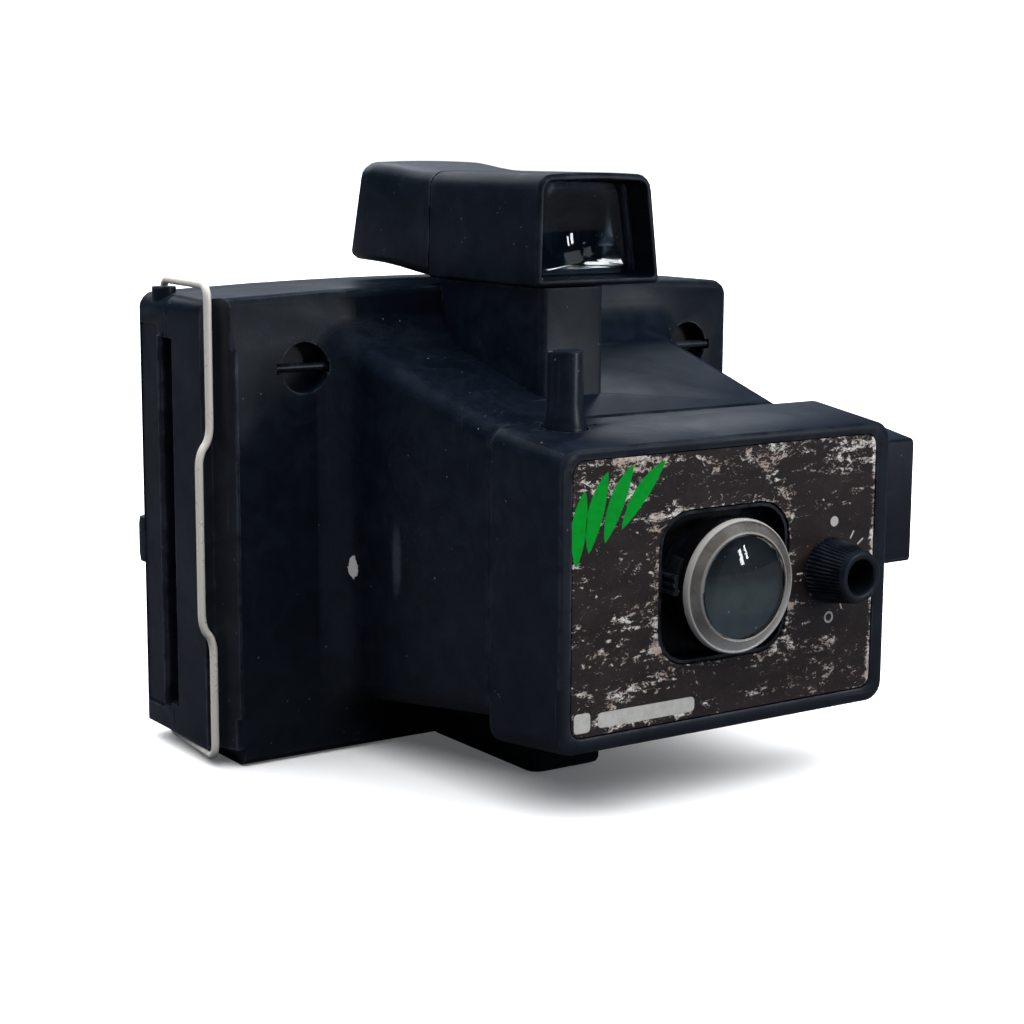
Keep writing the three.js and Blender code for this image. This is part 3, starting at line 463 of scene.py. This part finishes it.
# Two spots on the shell's left side, a pale chip and a tall soft streak a little lighter than the
# shell: middle, half size in millimetres, shade, softness.
SHELL_SPOTS = (
    (at(-45.5, -5.6, 49.8), (2.0, 2.0, 3.6), (0.62, 0.60, 0.57), 0.06),
    (at(-43.2, -23.2, 54.0), (2.0, 2.0, 9.0), (0.034, 0.038, 0.048), 0.45),
)
SHELL = moulded("shell_plastic", INK, 0.40, marks=SHELL_SPOTS)
FRONT = moulded("housing_plastic", (0.0022, 0.0040, 0.0078), 0.40, grain=1.1)
DOOR = moulded("door_plastic", INK, 0.42, grain=1.3)
SATIN = moulded("satin_plastic", (0.0032, 0.0050, 0.0086), 0.33, grain=0.6)
MATT = moulded("matt_plastic", (0.0045, 0.0048, 0.0056), 0.62, grain=1.5, gloss=0.3, rub=0.4)
WELL = moulded("well_plastic", (0.0018, 0.0020, 0.0028), 0.46, gloss=0.3)
FACE = worn_face()
WIRE = metal("wire_plating", (0.90, 0.85, 0.74), 0.32, 0.12, dark=(0.55, 0.49, 0.38), share=0.25)
STEEL = metal("steel_plating", (0.62, 0.61, 0.58), 0.3)
SPRING = metal("zinc_plating", (0.40, 0.40, 0.40), 0.38)
BRASS = metal("brass_strip", (0.66, 0.47, 0.18), 0.3, 0.6, dark=(0.2, 0.12, 0.05))
DOME = clear("lens_dome", (0.86, 0.90, 0.88), 1.5, 0.012, 0.5)
RIM = hazy_rim()
PANE = clear("finder_pane", (0.46, 0.55, 0.66), 1.52, 0.03)
GREEN = printed("green_ink", (0.0002, 0.34, 0.026))
WHITE = printed("white_ink", (0.58, 0.57, 0.53), wear=0.7)
SENSOR = clear("sensor_window", (0.25, 0.24, 0.26), 1.5, 0.05)
SEAT_PAINTED_REFLECTION = lens_seat()


# ---------------------------------------------------------------- mesh building
def dress(obj, material, sharp=35.0):
    """One material all over; corners above `sharp` degrees stay crisp."""
    obj.data.materials.clear()
    obj.data.materials.append(material)
    obj.data.shade_smooth()
    obj.data.set_sharp_from_angle(angle=math.radians(sharp))


def finish_piece(obj, node, material, sharp=35.0):
    """Paints and shades a piece and seats it on its body."""
    dress(obj, material, sharp)
    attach(obj, BODY_OF[node])


def mesh_object(name, bm):
    """A new object from a finished shape, with its faces turned outwards."""
    bmesh.ops.recalc_face_normals(bm, faces=bm.faces[:])
    mesh = bpy.data.meshes.new(name)
    bm.to_mesh(mesh)
    bm.free()
    obj = bpy.data.objects.new(name, mesh)
    bpy.context.scene.collection.objects.link(obj)
    return obj


def ease_edges(obj, width, segments, angle):
    """A rounding of `width` millimetres on every edge sharper than `angle` degrees."""
    bevel = obj.modifiers.new("eased", "BEVEL")
    bevel.width = width * MM
    bevel.segments = segments
    bevel.limit_method = "ANGLE"
    bevel.angle_limit = math.radians(angle)
    bevel.harden_normals = True
    return bevel


def refined(node, material, width, segments=2, convex=False):
    """The CAD shape with flat faces merged and edges eased.

    convex cuts a notched face into plain ones first, where the easing would tear it.
    """
    flat = math.radians(0.6)
    bm = bmesh.new()
    bm.from_mesh(frame["nodes"][node].data)
    bmesh.ops.remove_doubles(bm, verts=bm.verts[:], dist=2e-6)
    bmesh.ops.dissolve_limit(bm, angle_limit=flat, verts=bm.verts[:], edges=bm.edges[:])
    if convex:
        bmesh.ops.connect_verts_concave(bm, faces=bm.faces[:])
    obj = mesh_object(node + "_piece", bm)
    bevel = ease_edges(obj, width, segments, 30)
    bevel.use_clamp_overlap = True
    bevel.miter_outer = "MITER_ARC"
    finish_piece(obj, node, material)
    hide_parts(node)
    return obj


def band(bm, a, b):
    """Faces between two loops of as many points, or between a loop and a single point."""
    count = max(len(a), len(b))
    for i in range(count):
        j = (i + 1) % count
        if len(a) == 1:
            bm.faces.new((a[0], b[i], b[j]))
        elif len(b) == 1:
            bm.faces.new((a[i], a[j], b[0]))
        else:
            bm.faces.new((a[i], a[j], b[j], b[i]))


def turned_point(x, z, r, t):
    """The drawing point at distance r from (x, z), turned by t radians."""
    return x + r * math.cos(t), z + r * math.sin(t)


def spun(name, rings, axis, flutes=None):
    """Turned closed form about the lens direction; rings list (radius, depth) in millimetres."""
    count = 288 if flutes else 96
    bm = bmesh.new()
    loops = []
    for k, (r, y) in enumerate(rings):
        loop = []
        for i in range(count if r > 0 else 1):
            t = 2 * math.pi * i / count
            x, z = turned_point(*axis, r - (flutes(k, t) if flutes else 0.0), t)
            loop.append(bm.verts.new(at(x, y, z)))
        loops.append(loop)
    for a, b in zip(loops, loops[1:]):
        band(bm, a, b)
    if len(loops[0]) > 1 and len(loops[-1]) > 1:
        band(bm, loops[-1], loops[0])
    return mesh_object(name, bm)


def curve_point(a, corner, b, t):
    """A point on the quadratic curve from a to b that is drawn towards the corner."""
    return a * (1 - t) ** 2 + corner * 2 * t * (1 - t) + b * t * t


def fillet(p, q, r, radius, steps=4, most=0.49):
    """Points of a rounded corner at q between p and r, using at most that share of either side."""
    p, q, r = Vector(p), Vector(q), Vector(r)
    a = q + (p - q).normalized() * min(radius, (p - q).length * most)
    b = q + (r - q).normalized() * min(radius, (r - q).length * most)
    return [curve_point(a, q, b, k / steps) for k in range(steps + 1)]


def eased(points, radii):
    """Polyline with a rounded corner wherever its radius is above zero."""
    out = []
    for i, p in enumerate(points):
        if 0 < i < len(points) - 1 and radii[i] > 0:
            out.extend(tuple(v) for v in fillet(points[i - 1], p, points[i + 1], radii[i]))
        else:
            out.append(p)
    return out


def prism(bm, front, back):
    """Closes two matching outlines, front and back, into one solid."""
    bm.faces.new(front)
    bm.faces.new(back[::-1])
    band(bm, back, front)


def decal(name, outlines, material):
    """Thin printed film on the face plate; every outline is a list of drawing (x, z) points."""
    film = 0.045 * MM
    bm = bmesh.new()
    for outline in outlines:
        points = [at(x, 0, z) for x, z in outline]
        back = [bm.verts.new((v.x, face_low.y, v.z)) for v in points]
        front = [bm.verts.new((v.x, face_low.y - film, v.z)) for v in points]
        prism(bm, front, back)
    finish_piece(mesh_object(name, bm), "face_plate", material, 30)


ROUND_STEPS = 40


def circle(x, z, r):
    """Round outline."""
    steps = [2 * math.pi * i / ROUND_STEPS for i in range(ROUND_STEPS)]
    return [turned_point(x, z, r, t) for t in steps]


def ring_outline(x, z, outer, inner):
    """A ring as two half bands, so that each outline stays simple."""
    halves = []
    for start in (0.0, math.pi):
        ts = [start + math.pi * i / ROUND_STEPS for i in range(ROUND_STEPS + 1)]
        half = [turned_point(x, z, outer, t) for t in ts]
        halves.append(half + [turned_point(x, z, inner, t) for t in reversed(ts)])
    return halves


def bar(x0, x1, z0, z1, r):
    """Rectangle with rounded corners."""
    n = 6
    out = []
    corners = ((x1 - r, z0 + r), (x1 - r, z1 - r), (x0 + r, z1 - r), (x0 + r, z0 + r))
    for turns, (cx, cz) in enumerate(corners, -1):
        out += [turned_point(cx, cz, r, math.radians(90 * (turns + k / n))) for k in range(n + 1)]
    return out


def tick(x, z, length, wide, angle):
    """Short straight mark about a middle point, turned by degrees."""
    c, s = math.cos(math.radians(angle)), math.sin(math.radians(angle))
    a, b = length / 2, wide / 2
    return [(x + u * c - v * s, z + u * s + v * c) for u, v in ((-a, -b), (a, -b), (a, b), (-a, b))]


def leaf(x0, z0, x1, z1, wide, bow):
    """Pointed leaf between two points, bowed to one side."""
    n = 22
    a, b = Vector((x0, z0)), Vector((x1, z1))
    side = Vector((-(b - a).y, (b - a).x)).normalized()
    mid = (a + b) / 2 + side * bow
    left, right = [], []
    for k in range(n + 1):
        t = k / n
        p = curve_point(a, mid, b, t)
        d = ((mid - a) * (1 - t) + (b - mid) * t).normalized()
        w = wide / 2 * math.sin(math.pi * t) ** 0.75
        q = Vector((-d.y, d.x)) * w
        if 0 < k < n:
            left.append(tuple(p + q))
            right.append(tuple(p - q))
        else:
            left.append(tuple(p))
    return left + right[::-1]


# ---------------------------------------------------------------- front pieces
LENS_AXIS = (10.6, 53.4)
KNOB_AXIS = (44.2, 53.0)


def lens_pieces():
    """Dome, smoky rim and the dull disc behind them."""
    front, rear = -93.9, -85.4
    bulge, reach, rows = 2.2, 12.45, 18
    dome = [(reach * i / rows, front - bulge + bulge * (i / rows) ** 2) for i in range(rows + 1)]
    dome += [(reach, front + 1.7), (reach - 0.4, front + 2.1), (0, front + 2.1)]
    glass = spun("lens_dome_piece", dome, LENS_AXIS)
    finish_piece(glass, "lens", DOME, 40)
    rim = eased(
        [(12.7, front + 3.6), (12.7, front + 0.7), (12.95, front + 0.1), (13.3, front + 0.3),
         (15.55, front + 1.75), (15.8, front + 1.5), (16.15, front + 1.6), (16.38, front + 2.3),
         (16.38, rear - 0.2), (16.2, rear), (14.4, rear), (13.9, front + 4.8), (12.9, front + 4.8)],
        [0, 0.2, 0.2, 0.2, 0.25, 0.15, 0.25, 0.3, 0.1, 0.1, 0.2, 0.3, 0])
    ring = spun("lens_rim_piece", rim, LENS_AXIS)
    finish_piece(ring, "lens", RIM, 28)
    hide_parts("lens")
    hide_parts("lens")
    disc = eased(
        [(0, front + 2.9), (11.9, front + 2.9), (12.3, front + 3.2), (12.3, front + 4.2),
         (0, front + 4.2)],
        [0, 0.3, 0.3, 0, 0])
    finish_piece(spun("lens_seat_disc", disc, LENS_AXIS), "focus_lever", SEAT_PAINTED_REFLECTION, 40)


def knob_piece():
    """Tapered knob with a bore, a smooth tip and fine flutes down to its collar."""
    front, rear = KNOB_FRONT, -86.8
    flute_count, depth, skirt_radius = 48, 0.46, 6.4
    smooth_tip, fade_length, collar_edge = 1.0, 0.9, 0.3
    rings = eased(
        [(4.3, rear + 5), (6.0, rear + 5), (6.0, rear + 0.6), (7.9, rear + 0.6),
         (8.3, rear), (8.25, rear - 1.6), (7.75, rear - 4.0), (7.2, rear - 7.0),
         (6.75, front + 1.5), (6.5, front + 0.9), (6.1, front + 0.1), (5.6, front),
         (4.6, front + 0.1), (4.2, front + 0.8), (4.2, rear - 1.0), (4.3, rear + 4.9)],
        [0, 0.1, 0.2, 0.2, 0.3, 0, 0, 0, 0.2, 0.3, 0.3, 0.3, 0.3, 0.3, 0, 0])

    def flutes(k, t):
        """How far ring k is cut back at angle t."""
        r, y = rings[k]
        if r < skirt_radius or not front + smooth_tip < y < rear + collar_edge:
            return 0.0
        fade = min(1.0, (y - (front + smooth_tip)) / fade_length)
        return depth * fade * (0.5 - 0.5 * math.cos(flute_count * t)) ** 0.8

    obj = spun("exposure_knob_piece", rings, KNOB_AXIS, flutes)
    finish_piece(obj, "light_dark_knob", SATIN, 50)
    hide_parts("light_dark_knob")


def graphics():
    """Plain printed marks: a sprig, a bar with a block, and the knob's dot, ring and ticks."""
    decal("print_sprig", [
        leaf(-33.6, 61.8, -31.3, 79.3, 4.3, 1.2),
        leaf(-30.2, 64.6, -24.9, 83.2, 4.5, 1.5),
        leaf(-25.6, 66.6, -17.6, 84.4, 4.3, 1.5),
        leaf(-20.8, 69.4, -8.2, 84.6, 4.0, 1.5),
    ], GREEN)
    decal("print_bar", [bar(-27.0, 1.8, 22.9, 26.6, 1.2)], WHITE)
    decal("print_block", [bar(-33.9, -29.2, 22.4, 27.1, 1.0)], WHITE)
    decal("print_dark_dot", [circle(45.5, 65.1, 1.3)], WHITE)
    decal("print_light_ring", ring_outline(44.5, 40.9, 1.5, 0.95), WHITE)
    decal("print_ticks", [
        tick(51.6, 61.2, 2.3, 0.42, 58), tick(54.4, 59.2, 2.3, 0.42, 35),
        tick(34.5, 53.0, 2.0, 0.42, 0), tick(48.5, 43.3, 1.6, 0.42, 110),
    ], WHITE)


# ---------------------------------------------------------------- wire
def bent(points, ease):
    """A path with every inner corner rounded."""
    path = [points[0]]
    for before, corner, after in zip(points, points[1:], points[2:]):
        path += fillet(before, corner, after, ease, steps=10, most=0.45)
    return path + [points[-1]]


def capped(name, bm, rings):
    """Skins a row of rings and closes its two ends."""
    for a, b in zip(rings, rings[1:]):
        band(bm, a, b)
    bm.faces.new(rings[0][::-1])
    bm.faces.new(rings[-1])
    return mesh_object(name, bm)


def swept(name, path, radius, sides):
    """A round bar along a path, with flat ends."""
    bm = bmesh.new()
    rings = []
    turns = [2 * math.pi * k / sides for k in range(sides)]
    normal = before = None
    for i, p in enumerate(path):
        tangent = (path[min(i + 1, len(path) - 1)] - path[max(i - 1, 0)]).normalized()
        if before is None:
            normal = Vector((0.3, 0.9, 0.2)).cross(tangent).normalized()
        else:
            normal = (before.rotation_difference(tangent) @ normal).normalized()
        before = tangent
        across = tangent.cross(normal)
        ring = [p + (normal * math.cos(t) + across * math.sin(t)) * radius for t in turns]
        rings.append([bm.verts.new(v) for v in ring])
    return capped(name, bm, rings)


def wire_piece():
    """The latch wire: two arms from their pivots and a long side with a finger grip bent out."""
    pivot, side, grip = (-78.5, 33.5), (-81.1, 3.4), (-84.2, 3.4)
    arm_top, arm_low = 122.4, 2.7
    corners = ((pivot, 116.2), (pivot, arm_top), (side, arm_top), (side, 84.6), (grip, 80.6),
               (grip, 37), (side, 33), (side, arm_low), (pivot, arm_low), (pivot, 6.9))
    path = bent([at(*place, z) for place, z in corners], 3.6 * MM)
    obj = swept("bail_wire_piece", path, 1.0 * MM, 24)
    finish_piece(obj, "bail_wire", WIRE, 60)
    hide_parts("bail_wire")


def focus_tab():
    """Finger wedge on the focusing ring, with a painted highlight: a bright strip along its lower
    edge.
    """
    outer, inner, rows, highlight_height = 17.3, 15.2, 8, 0.45
    outline = []
    for r, start, end in ((outer, 178, 152), (inner, 152, 182)):
        for k in range(rows + 1):
            t = math.radians(start + (end - start) * k / rows)
            outline.append(turned_point(*LENS_AXIS, r, t))
    slab_piece("focus_tab_piece", outline, -88.9, -84.2, "focus_lever", MATT, 0.3)
    # Painted highlight: a thin bright strip laid along the tab's lower edge.
    upper = []
    for k in range(rows + 1):
        s = k / rows
        x, z = turned_point(*LENS_AXIS, 17.4 - 2.2 * s, math.radians(178.5 + 4.5 * s))
        upper.append((x, z + 0.5 * math.sin(math.pi * s)))
    lower = [(x, z - highlight_height) for x, z in reversed(upper)]
    slab_piece("focus_tab_painted_highlight", upper + lower, -89.0, -86.0, "focus_lever", WIRE, 0.06)


def slab_piece(name, outline, y_front, y_back, node, material, width):
    """A plate cut to a drawing outline, with eased edges."""
    bm = bmesh.new()
    front = [bm.verts.new(at(x, y_front, z)) for x, z in outline]
    back = [bm.verts.new(at(x, y_back, z)) for x, z in outline]
    prism(bm, front, back)
    obj = mesh_object(name, bm)
    ease_edges(obj, width, 2, 40)
    finish_piece(obj, node, material)


def dished_pane():
    """The finder's front lens, hollowed in front by a wide ball."""
    obj = refined("finder_front_lens", PANE, 0.15, 1)
    pane_low, pane_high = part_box("finder_front_lens")
    middle = (pane_low + pane_high) / 2
    radius, depth = 26 * MM, 1.5 * MM
    bm = bmesh.new()
    bmesh.ops.create_uvsphere(bm, u_segments=128, v_segments=96, radius=radius)
    cutter = mesh_object("dish_ball", bm)
    cutter.location = (middle.x - 3.5 * MM, pane_low.y - radius + depth, middle.z - 0.3 * MM)
    bite = obj.modifiers.new("dish", "BOOLEAN")
    bite.operation = "DIFFERENCE"
    bite.solver = "EXACT"
    bite.object = cutter
    bpy.context.view_layer.update()
    graph = bpy.context.evaluated_depsgraph_get()
    shaped = bpy.data.meshes.new_from_object(obj.evaluated_get(graph))
    obj.modifiers.clear()
    obj.data = shaped
    bpy.data.objects.remove(cutter)
    finish_piece(obj, "finder_front_lens", PANE, 30)


def slot_lip():
    """Slim raised bead down the rear edge of the film slot, thinner at both ends."""
    wall, low_z, high_z, taper = -82.0, 11.2, 108.8, 0.4
    section = ((0, 27.85), (-0.9, 27.95), (-1.15, 28.3), (-1.15, 28.75), (-0.9, 29.1), (0, 29.2))
    bm = bmesh.new()
    rings = []
    for z, grow in ((low_z, 0.35), (low_z + taper, 1.0), (high_z - taper, 1.0), (high_z, 0.35)):
        rings.append([bm.verts.new(at(wall + proud * grow, y, z)) for proud, y in section])
    finish_piece(capped("film_slot_lip", bm, rings), "body_shell", SATIN, 50)


# ---------------------------------------------------------------- assembly of the looks
def build():
    """Every piece of the camera, then the materials of the CAD shapes that show as they are."""
    refined("body_shell", SHELL, 0.45)
    refined("front_housing", FRONT, 0.35, convex=True)
    refined("face_plate", FACE, 0.12, 1)
    refined("lens_well", WELL, 0.22)
    refined("focus_lever", SATIN, 0.2)
    refined("shutter_rod", SATIN, 0.28, 3)
    refined("finder_body", SHELL, 0.35)
    dished_pane()
    refined("finder_eye_lens", PANE, 0.15, 1)
    refined("eyepiece_hood", SATIN, 0.45, 3)
    refined("flash_socket", FRONT, 0.2, convex=True)
    refined("back_door", DOOR, 0.45, convex=True)
    refined("battery_cover", FRONT, 0.25)
    refined("film_gate", MATT, 0.15, 1)
    refined("roller_frame", SPRING, 0.2, 1)
    refined("battery_holder", MATT, 0.2, 1)
    lens_pieces()
    focus_tab()
    knob_piece()
    graphics()
    slot_lip()
    wire_piece()
    plain = (
        (SPRING, ("shutter_plate", "release_spring", "gate_screw_1", "gate_screw_2", "gate_screw_3",
                  "gate_screw_4", "pack_spring_lower", "pack_spring_upper")),
        (MATT, ("shutter_blade",)),
        (SENSOR, ("photocell",)),
        (BRASS, ("flash_contact_lower", "flash_contact_upper")),
        (SATIN, ("strap_pin_left", "strap_pin_right")),
        (STEEL, ("spread_roller_front", "spread_roller_rear", "hinge_pin")),
        (jacket(), ("battery_left", "battery_right")),
        (circuit(), ("circuit_board",)),
        (wound(), ("shutter_magnet",)),
    )
    for material, nodes in plain:
        for node in nodes:
            dress(frame["nodes"][node], material)


# ---------------------------------------------------------------- studio
# Name, place, what it points at, width and height, power, colour.
LAMPS = (
    ("front_key", (0.75, -1.1, 0.85), (0.02, 0, 0.07), (0.6, 0.6), 1.1, (0.86, 0.93, 1.0)),
    ("top_back", (0.35, 1.1, 0.80), (0, 0, 0.1), (1.5, 0.6), 3.6, (0.88, 0.93, 1.0)),
    ("window_left", (0.627, -1.057, 0.262), (0.01, -0.07, 0.053), (0.065, 0.20), 0.9,
     (0.90, 0.95, 1.0)),
    ("window_right", (0.712, -0.985, 0.300), (0.01, -0.07, 0.053), (0.045, 0.17), 0.5,
     (0.90, 0.95, 1.0)),
)


def make_floor():
    """A wide round floor, white to the camera and dark to everything that reflects it."""
    p = Paint("floor_paint", Roughness=0.8)
    p.set("Specular IOR Level", 0.1)
    soft = p.span(p.noise(3, 2, 0.5), 0.3, 0.7)
    pale = p.mix(soft, (0.90, 0.90, 0.90), (0.93, 0.93, 0.93))
    seen = p.tree.nodes.new("ShaderNodeLightPath").outputs["Is Camera Ray"]
    p.set("Base Color", p.mix(seen, (0.055, 0.060, 0.070), pale))
    p.set("Emission Color", (1.0, 1.0, 1.0))
    p.set("Emission Strength", p.times(seen, 0.08))
    bm = bmesh.new()
    bmesh.ops.create_circle(bm, cap_ends=True, segments=96, radius=12)
    floor = mesh_object("floor", bm)
    floor.location = (0, 0, -0.0002)
    floor.data.materials.append(p.material)


def make_world():
    """A background that is white to the camera and deep blue to everything else."""
    world = bpy.data.worlds.new("studio_world")
    scene.world = world
    world.use_nodes = True
    tree = world.node_tree
    path = tree.nodes.new("ShaderNodeLightPath")
    mix = tree.nodes.new("ShaderNodeMix")
    mix.data_type = "RGBA"
    fill(tree, mix.inputs[0], path.outputs["Is Camera Ray"])
    fill(tree, mix.inputs[6], (0.020, 0.040, 0.080))
    fill(tree, mix.inputs[7], (1.05, 1.05, 1.05))
    fill(tree, tree.nodes["Background"].inputs["Color"], mix.outputs[2])


def hang(name, kind, power):
    """A lamp that clear parts do not show."""
    light = bpy.data.lights.new(name, kind)
    light.energy = power
    obj = bpy.data.objects.new(name, light)
    scene.collection.objects.link(obj)
    obj.visible_transmission = False
    return obj


def studio():
    """Floor, background, a soft sky light and four rectangular lamps."""
    make_floor()
    make_world()
    sky = hang("sky_sun", "SUN", 8.0)
    sky.data.angle = math.radians(130)
    sky.rotation_euler = (math.radians(-8), math.radians(14), 0)
    sky.visible_glossy = False
    for name, place, target, (wide, high), power, tone in LAMPS:
        lamp = hang(name, "AREA", power)
        lamp.data.shape = "RECTANGLE"
        lamp.data.size, lamp.data.size_y = wide, high
        lamp.data.color = tone
        lamp.location = place
        lamp.rotation_euler = (Vector(target) - Vector(place)).to_track_quat("-Z", "Y").to_euler()
        lamp.visible_camera = False


build()
studio()
